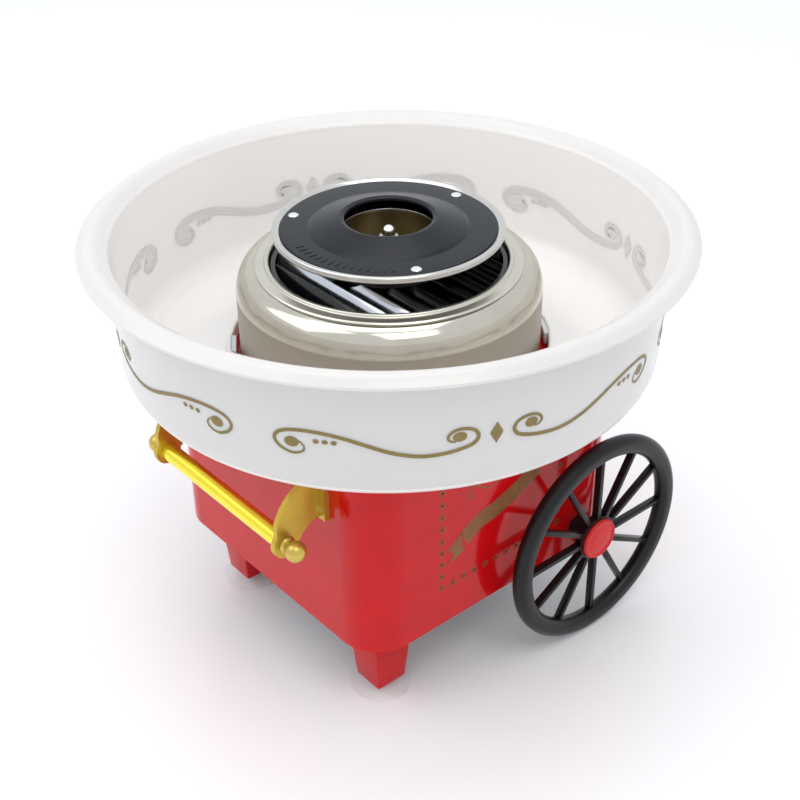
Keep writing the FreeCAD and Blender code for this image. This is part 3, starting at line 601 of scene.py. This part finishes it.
def drum():
    """Spun drum with a rounded shoulder, and the rolled mouth ring crimped over it."""
    low = DRUM_LOW[2]
    shoulder = []
    for step in range(17):
        angle = math.pi / 2 * step / 16
        shoulder.append((SEAM_RADIUS + (DRUM_RADIUS - SEAM_RADIUS) * math.cos(angle),
                         DRUM_TOP - SHOULDER_DROP * (1 - math.sin(angle))))
    profile = [(60, low), (DRUM_RADIUS - 0.4, low), (DRUM_RADIUS - 0.1, low + 0.5), *shoulder,
               (62, DRUM_TOP - 0.6), (62, DRUM_TOP - 1.4)]
    profile += [(u - 1.1, v - 1.0) for u, v in reversed(shoulder)]
    profile += [(DRUM_RADIUS - 1.2, low + 1), (60, low + 1)]
    shell = lathe("drum_spun_shell", profile, segments=240, closed=True)
    smooth_by_angle(shell, 35)
    finish_piece(shell, "cart", "drum_steel", "drum_shell")
    outer, top = COLLAR_HIGH[0], COLLAR_HIGH[2]
    profile = rounded_path([
        (MOUTH, DRUM_TOP - 6, 0.2), (MOUTH, top, 0.9), (MOUTH + 2.0, top, 0.9),
        (MOUTH + 2.5, DRUM_TOP + 1.3, 0.7), (outer - 0.9, DRUM_TOP + 0.95, 0.5),
        (outer, DRUM_TOP + 0.1, 0.3), (outer - 0.8, DRUM_TOP + 0.02, 0.1),
        (MOUTH + 1.1, DRUM_TOP + 0.1, 0.1), (MOUTH + 1.0, DRUM_TOP - 6, 0.2),
    ], closed=True, steps=6)
    collar = lathe("drum_mouth_ring", profile, segments=240, closed=True)
    smooth_by_angle(collar, 35)
    finish_piece(collar, "cart", "collar_steel", "drum_collar")


# ---- heat guard ------------------------------------------------------------------------------------

GUARD_LOW, GUARD_HIGH = size_of("heat_guard")
GUARD_INNER = 28.6
SLAT_PLACES = (-47, -38, -29, -20, -11, 3, 12, 21, 30, 39, 48)
# Slats that get the painted highlight instead of the guard's black.
BRIGHT_SLATS = (-38, -29)
SLAT_TILT = 58.0
SLAT_HALF_WIDTH = 3.7
SLAT_DROP = 3.4


def guard_ring(inner, outer, low, top, segments):
    """One upright ring of the guard's frame, with eased edges."""
    corners = [(inner, low, 0.3), (outer, low, 0.3), (outer, top, 0.4), (inner, top, 0.4)]
    return lathe("frame", rounded_path(corners, closed=True), segments, True)


def guard():
    """Black ring frames carrying slats that tilt away from the middle; two of them get a painted highlight, a
    bright metal colour for the light they catch.
    """
    outer, low, top = GUARD_HIGH[0], GUARD_LOW[2], GUARD_HIGH[2]
    frames = [guard_ring(outer - 2.4, outer, low, top, 200),
              guard_ring(GUARD_INNER, GUARD_INNER + 1.6, low + 1, top, 120)]
    slats = {True: [], False: []}
    for x in SLAT_PLACES:
        reach = math.sqrt((outer - 1.5) ** 2 - x * x)
        start = math.sqrt(max(0.0, (GUARD_INNER + 1) ** 2 - x * x))
        spans = [(start, reach), (-reach, -start)] if start else [(-reach, reach)]
        for near, far in spans:
            half = SLAT_HALF_WIDTH
            slat = prism("slat", [(-half, near), (half, near), (half, far), (-half, far)], -0.6, 0.6)
            slat = bevelled("slat", slat, 0.4, 3)
            lean = -SLAT_TILT if x < 0 else SLAT_TILT
            turned = Matrix.Rotation(math.radians(lean), 4, "Y")
            spot = Matrix.Translation((x * MM, 0, (top - SLAT_DROP) * MM))
            slats[x in BRIGHT_SLATS].append(move(slat, spot @ turned))
    frame_piece = joined("heat_guard_frames", frames)
    smooth_by_angle(frame_piece, 35)
    finish_piece(frame_piece, "cart", "guard_black", "heat_guard")
    finish_piece(joined("heat_guard_slats_bright", slats[True]), "cart", "guard_black", paint=SLAT_PAINTED_HIGHLIGHT)
    finish_piece(joined("heat_guard_slats_dark", slats[False]), "cart", "guard_black")


# ---- spinning head ---------------------------------------------------------------------------------

DISC_LOW, DISC_HIGH = size_of("head_disc")
COVER_HIGH = size_of("head_cover")[1]
CONE_HOLE = 21.5
CONE_BASE = 39.0
RIVET_ANGLES = (5, 125, 245)
RIVET_CIRCLE = 48.6
# The plain raised ticks near the cover's edge: an arc of them, in degrees, and their two radii.
MARK_COUNT, MARK_START, MARK_STEP = 15, 168, 4.6
MARK_NEAR, MARK_FAR = 45.2, 49.6


def head():
    """Polished disc with an upturned rim, satin black cone cover with raised ticks, and rivets."""
    low, high, radius = DISC_LOW[2], DISC_HIGH[2], DISC_HIGH[0]
    cover_radius = COVER_HIGH[0]
    disc = lathe("head_polished_disc", rounded_path([
        (23, low, 0.2), (radius - 0.6, low, 0.8), (radius, low + 1.2, 0.8), (radius, high, 0.9),
        (radius - 1.9, high + 0.1, 0.9), (cover_radius + 0.15, low + 2.6, 0.3),
        (cover_radius + 0.1, low + 1.2, 0.1), (23, low + 1.2, 0.2)], closed=True), 240, True)
    smooth_by_angle(disc, 35)
    finish_piece(disc, "head", "disc_steel", "head_disc")
    flat, top = low + 3.0, COVER_HIGH[2]
    cover = lathe("head_black_cover", rounded_path([
        (CONE_BASE - 1, low + 1.25, 0), (cover_radius, low + 1.25, 0.1), (cover_radius, flat, 0.5),
        (CONE_BASE + 0.6, flat, 1.2), (CONE_BASE - 1.2, flat + 0.9, 3.0), (CONE_HOLE + 2.2, top, 1.6),
        (CONE_HOLE, top - 0.6, 0.7), (CONE_HOLE, top - 2.0, 0.2)], closed=True), 240, True)
    smooth_by_angle(cover, 35)
    marks = []
    for index in range(MARK_COUNT):
        mark = prism("mark", rectangle(MARK_NEAR, MARK_FAR, 0.45), flat - 0.1, flat + 0.28)
        mark = bevelled("mark", mark, 0.12, 2)
        marks.append(move(mark, Matrix.Rotation(math.radians(MARK_START + index * MARK_STEP), 4, "Z")))
    finish_piece(joined("head_black_cover", [cover, *marks]), "head", "cover_black", "head_cover")
    rivets = []
    for angle in RIVET_ANGLES:
        dome = [(0, flat + 0.95, 0), (1.9, flat + 0.8, 2.0), (2.9, flat, 0), (0, flat - 0.2, 0)]
        rivet = lathe("rivet", rounded_path(dome), 40)
        spot = Matrix.Rotation(math.radians(angle), 4, "Z") @ Matrix.Translation((RIVET_CIRCLE * MM, 0, 0))
        rivets.append(move(rivet, spot))
    finish_piece(joined("head_rivet_heads", rivets), "head", "rivet_metal", "head_rivets")


# ---- cart body, legs and wheels --------------------------------------------------------------------

BODY_HIGH = size_of("base_housing")[1]
FOOT_HALF = 9.0


def legs():
    """Tapered square legs with eased edges, and clear suction cups."""
    for name in ("right", "left"):
        low, high = size_of(f"leg_{name}")
        middle = [(a + b) / 2 for a, b in zip(low, high)]
        half_low, half_high = FOOT_HALF, (high[0] - low[0]) / 2
        points = []
        for half, z in ((half_low, low[2]), (half_high, high[2])):
            points += [(sx * half * MM, sy * half * MM, z * MM)
                       for sx, sy in ((-1, -1), (1, -1), (1, 1), (-1, 1))]
        faces = [(3, 2, 1, 0), (4, 5, 6, 7)] + [(i, (i + 1) % 4, 4 + (i + 1) % 4, 4 + i) for i in range(4)]
        leg = bevelled(f"leg_{name}_moulding", add_mesh("leg", points, faces), 1.1, 4)
        move(leg, Matrix.Translation((middle[0] * MM, middle[1] * MM, 0)))
        finish_piece(leg, "cart", "red_legs", f"leg_{name}")
        cup_low, cup_high = size_of(f"suction_cup_{name}")
        cup_radius = (cup_high[0] - cup_low[0]) / 2
        cup = lathe(f"suction_cup_{name}_vinyl", rounded_path([
            (0, 1.9, 0), (5.5, 1.7, 2), (cup_radius - 2.6, 0.02, 0.3), (cup_radius, 0.02, 0.2),
            (cup_radius, 0.7, 0.3), (10.0, 2.4, 4),
            (6.6, 3.2, 0.8), (6.0, 4.3, 0.3), (4.0, 4.4, 0.2), (3.8, 9.5, 0.6), (0, 9.8, 0)]), 96)
        move(cup, Matrix.Translation((middle[0] * MM, middle[1] * MM, 0)))
        finish_piece(cup, "cart", "clear_rubber", f"suction_cup_{name}")


WHEEL_PLANE = 98.6
TYRE_WIDTH = 10.5
TYRE_HALF_DEPTH = 4.5
SPOKE_COUNT = 12


def wheels():
    """Rounded tyres, twelve flat spokes, hub and domed red cap on each side."""
    for name, side in (("right", -1), ("left", 1)):
        low, high = size_of(f"wheel_{name}")
        centre = Vector([(a + b) / 2 * MM for a, b in zip(low, high)])
        centre.y = side * WHEEL_PLANE * MM
        radius, deep = (high[0] - low[0]) / 2, min(TYRE_HALF_DEPTH, (high[1] - low[1]) / 2)
        inner = radius - TYRE_WIDTH
        rim = lathe("rim", rounded_path([
            (inner, -deep, 4.2), (radius, -deep, 4.4), (radius, deep, 4.4), (inner, deep, 4.2)],
            closed=True, steps=10), 200, True)
        parts = [rim]
        for index in range(SPOKE_COUNT):
            tapered = [(10, -1.4), (inner + 1.2, -1.25), (inner + 1.2, 1.25), (10, 1.4)]
            bar = prism("spoke", tapered, -2.8, 1.35)
            bar = bevelled("spoke", bar, 0.35, 2)
            parts.append(move(bar, Matrix.Rotation(TURN * index / SPOKE_COUNT, 4, "Z")))
        parts.append(lathe("hub", rounded_path([
            (3.06, -4, 0.3), (11.6, -4, 0.8), (12.6, -3, 0.8), (12.6, 1.4, 0.5), (3.06, 1.4, 0.3)],
            closed=True), 96, True))
        wheel = joined(f"wheel_{name}_spoked", parts)
        smooth_by_angle(wheel, 35)
        move(wheel, Matrix.Translation(centre) @ axis_to_y(side))
        finish_piece(wheel, f"{name}_wheel", "wheel_black", f"wheel_{name}")

        cap_low, cap_high = size_of(f"hub_cap_{name}")
        cap_radius = (cap_high[0] - cap_low[0]) / 2
        rise = cap_high[1] - cap_low[1]
        start = cap_low[1] if side > 0 else cap_high[1]
        cap = lathe(f"hub_cap_{name}_dome", rounded_path([
            (4.4, 0.05, 0.1), (cap_radius - 0.2, 0.05, 0.3), (cap_radius, rise * 0.45, 0.8),
            (cap_radius - 0.9, rise * 0.95, 0.8), (cap_radius - 1.9, rise * 0.86, 0.5),
            (cap_radius - 2.4, rise * 0.66, 0.5), (cap_radius * 0.45, rise * 0.97, 6), (0, rise, 0),
            (0, 1.5, 0), (4.3, 1.5, 0.2)]), 120)
        move(cap, Matrix.Translation((centre.x, start * MM, centre.z)) @ axis_to_y(side))
        finish_piece(cap, f"{name}_wheel", "red_caps", f"hub_cap_{name}")


# ---- handle ----------------------------------------------------------------------------------------

def handle():
    """Bright bar and satin ball knobs."""
    low, high = size_of("handle_bar")
    radius = (high[2] - low[2]) / 2
    centre = Vector(((low[0] + high[0]) / 2 * MM, 0, (low[2] + high[2]) / 2 * MM))
    half = high[1]
    bar = lathe("handle_bar_plated", rounded_path([
        (0, -half, 0), (radius - 0.05, -half, 0.4), (radius, -half + 2, 1), (radius, half - 2, 1),
        (radius - 0.05, half, 0.4), (0, half, 0)]), 64)
    move(bar, Matrix.Translation(centre) @ axis_to_y(1))
    finish_piece(bar, "cart", "gold_bar", "handle_bar")
    for name, side in (("right", -1), ("left", 1)):
        knob_low, knob_high = size_of(f"knob_{name}")
        reach = knob_high[1] - knob_low[1]
        ball = (knob_high[2] - knob_low[2]) / 2
        start = knob_low[1] if side > 0 else knob_high[1]
        profile = [(0, 0.05), (4.2, 0.05), (4.4, 0.5), (4.0, 1.3), (3.2, 1.8)]
        for index in range(15):
            angle = math.radians(-48 + index * (138 / 14))
            across = ball * math.cos(angle) if index < 14 else 0
            profile.append((across, reach - ball + ball * math.sin(angle)))
        knob = lathe(f"knob_{name}_ball", profile, 72)
        smooth_by_angle(knob, 50)
        move(knob, Matrix.Translation((centre.x, start * MM, centre.z)) @ axis_to_y(side))
        finish_piece(knob, "cart", "gold_knobs", f"knob_{name}")


# ---- printed sides ---------------------------------------------------------------------------------

STAR_HALF_WIDTH = 40.3
STAR_LOW = 70.0
STAR_PITCH = 7.2
STAR_ROWS = 11


def star_outline(x, z, radius=2.3):
    """A small six-armed star as thin crossed bars."""
    bars = []
    for index in range(3):
        angle = math.pi / 2 + index * math.pi / 3
        along = Vector((math.cos(angle), math.sin(angle)))
        across = Vector((-along.y, along.x))
        bars.append([(x + along.x * radius * a + across.x * 0.38 * b,
                      z + along.y * radius * a + across.y * 0.38 * b)
                     for a, b in ((-1, -0.7), (0, -1.3), (1, -0.7), (1, 0.7), (0, 1.3), (-1, 0.7))])
    return bars


def side_print():
    """A frame of small stars and a plain wordless ribbon on each wheel side."""
    shapes = []
    for row in range(STAR_ROWS):
        for sign in (-1, 1):
            shapes += star_outline(sign * STAR_HALF_WIDTH, STAR_LOW + row * STAR_PITCH)
    columns = 10
    for column in range(1, columns + 1):
        x = -STAR_HALF_WIDTH + column * 2 * STAR_HALF_WIDTH / (columns + 1)
        shapes += star_outline(x, STAR_LOW - 0.3)
    middle = spline([(-26, 93.5), (-16, 99.0), (-4, 101.5), (10, 106.5), (24, 113.5)], 8)
    band = ribbon(middle, lambda share: 5.2)
    for here, there in zip(band, band[1:]):
        shapes.append([here[0], there[0], there[2], here[2]])
    shapes.append([(-27.2, 97.6), (-27.2, 88.6), (-24.5, 86.6), (-35.5, 82.2), (-33.0, 87.4), (-36.5, 91.8)])
    flourish = ribbon(spline([(u * 0.24, v * 0.5) for u, v in SCROLL_LINE], 6), lambda share: 0.35)
    for sign in (-1, 1):
        for a, b in zip(flourish, flourish[1:]):
            quad = [a[0], b[0], b[2], a[2]]
            shapes.append([(sign * (u + 1), v + 120) for u, v in quad])
    for name, side in (("right", -1), ("left", 1)):
        points, faces = [], []
        y = (BODY_HIGH[1] + 0.08) * side
        for shape in shapes:
            base = len(points)
            points += [(x * MM, y * MM, z * MM) for x, z in shape]
            faces.append(tuple(range(base, base + len(shape))))
        made = add_mesh(f"side_print_{name}", points, faces, smooth=False)
        work = bmesh.new()
        work.from_mesh(made.data)
        for face in work.faces:
            if face.normal.y * side < 0:
                face.normal_flip()
        bmesh.ops.triangulate(work, faces=work.faces)
        work.to_mesh(made.data)
        work.free()
        finish_piece(made, "cart", "red_shell", paint=PRINT_BROWN)


# ---- scene -----------------------------------------------------------------------------------------

CAMERA_AZIMUTH = -40.19
CAMERA_ELEVATION = 32.79
CAMERA_DISTANCE = 0.717
CAMERA_TARGET = Vector((0.0035, -0.0030, 0.1216))
CAMERA_ROLL = -0.64
CAMERA_LENS = 61.27
FLOOR_REACH = 3


def direction(azimuth, elevation):
    """Unit vector from the object, from degrees round from -Y and degrees up."""
    around, up = math.radians(azimuth), math.radians(elevation)
    return Vector((math.sin(around) * math.cos(up), -math.cos(around) * math.cos(up), math.sin(up)))


def camera():
    """The photographer's view: above the front right corner, looking down at the bowl."""
    away = direction(CAMERA_AZIMUTH, CAMERA_ELEVATION)
    data = bpy.data.cameras.new("camera")
    data.lens = CAMERA_LENS
    data.sensor_width = 36.0
    data.clip_start = 0.01
    eye = bpy.data.objects.new("camera", data)
    eye.location = CAMERA_TARGET + away * CAMERA_DISTANCE
    facing = away.to_track_quat("Z", "Y").to_matrix().to_4x4()
    eye.rotation_euler = (facing @ Matrix.Rotation(math.radians(CAMERA_ROLL), 4, "Z")).to_euler()
    bpy.context.scene.collection.objects.link(eye)
    bpy.context.scene.camera = eye


def area_light(name, azimuth, elevation, distance, size, power, colour=(1, 1, 1)):
    """A soft square light aimed at the bowl from a direction like the camera's."""
    away = direction(azimuth, elevation)
    data = bpy.data.lights.new(name, "AREA")
    data.shape = "SQUARE"
    data.size = size
    data.energy = power
    data.color = colour
    lamp = bpy.data.objects.new(name, data)
    lamp.location = Vector((0, 0, 0.14)) + away * distance
    lamp.rotation_euler = away.to_track_quat("Z", "Y").to_euler()
    bpy.context.scene.collection.objects.link(lamp)


def studio():
    """Pale floor, white surround and three soft lights."""
    scene = bpy.context.scene
    scene.view_settings.view_transform = "Standard"
    world = bpy.data.worlds.new("studio")
    world.use_nodes = True
    world.node_tree.nodes["Background"].inputs["Color"].default_value = (0.93, 0.96, 1.0, 1)
    world.node_tree.nodes["Background"].inputs["Strength"].default_value = 0.95
    scene.world = world
    reach = FLOOR_REACH
    corners = [(-reach, -reach, 0), (reach, -reach, 0), (reach, reach, 0), (-reach, reach, 0)]
    floor = add_mesh("floor", corners, [(0, 1, 2, 3)], smooth=False)
    pale = material("floor_pale", (0.95, 0.95, 0.96), 0.3, vary=0.01, bump=0.0, scale=3)
    floor.data.materials.append(pale)
    area_light("key", -125, 50, 1.6, 1.2, 5, (0.97, 0.99, 1.0))
    area_light("fill", -20, 62, 1.6, 0.8, 5, (1.0, 0.95, 0.88))
    area_light("top", 150, 78, 1.3, 0.8, 3)


camera()
studio()
dress_cad()
bowl()
bowl_prints()
drum()
guard()
head()
legs()
wheels()
handle()
side_print()
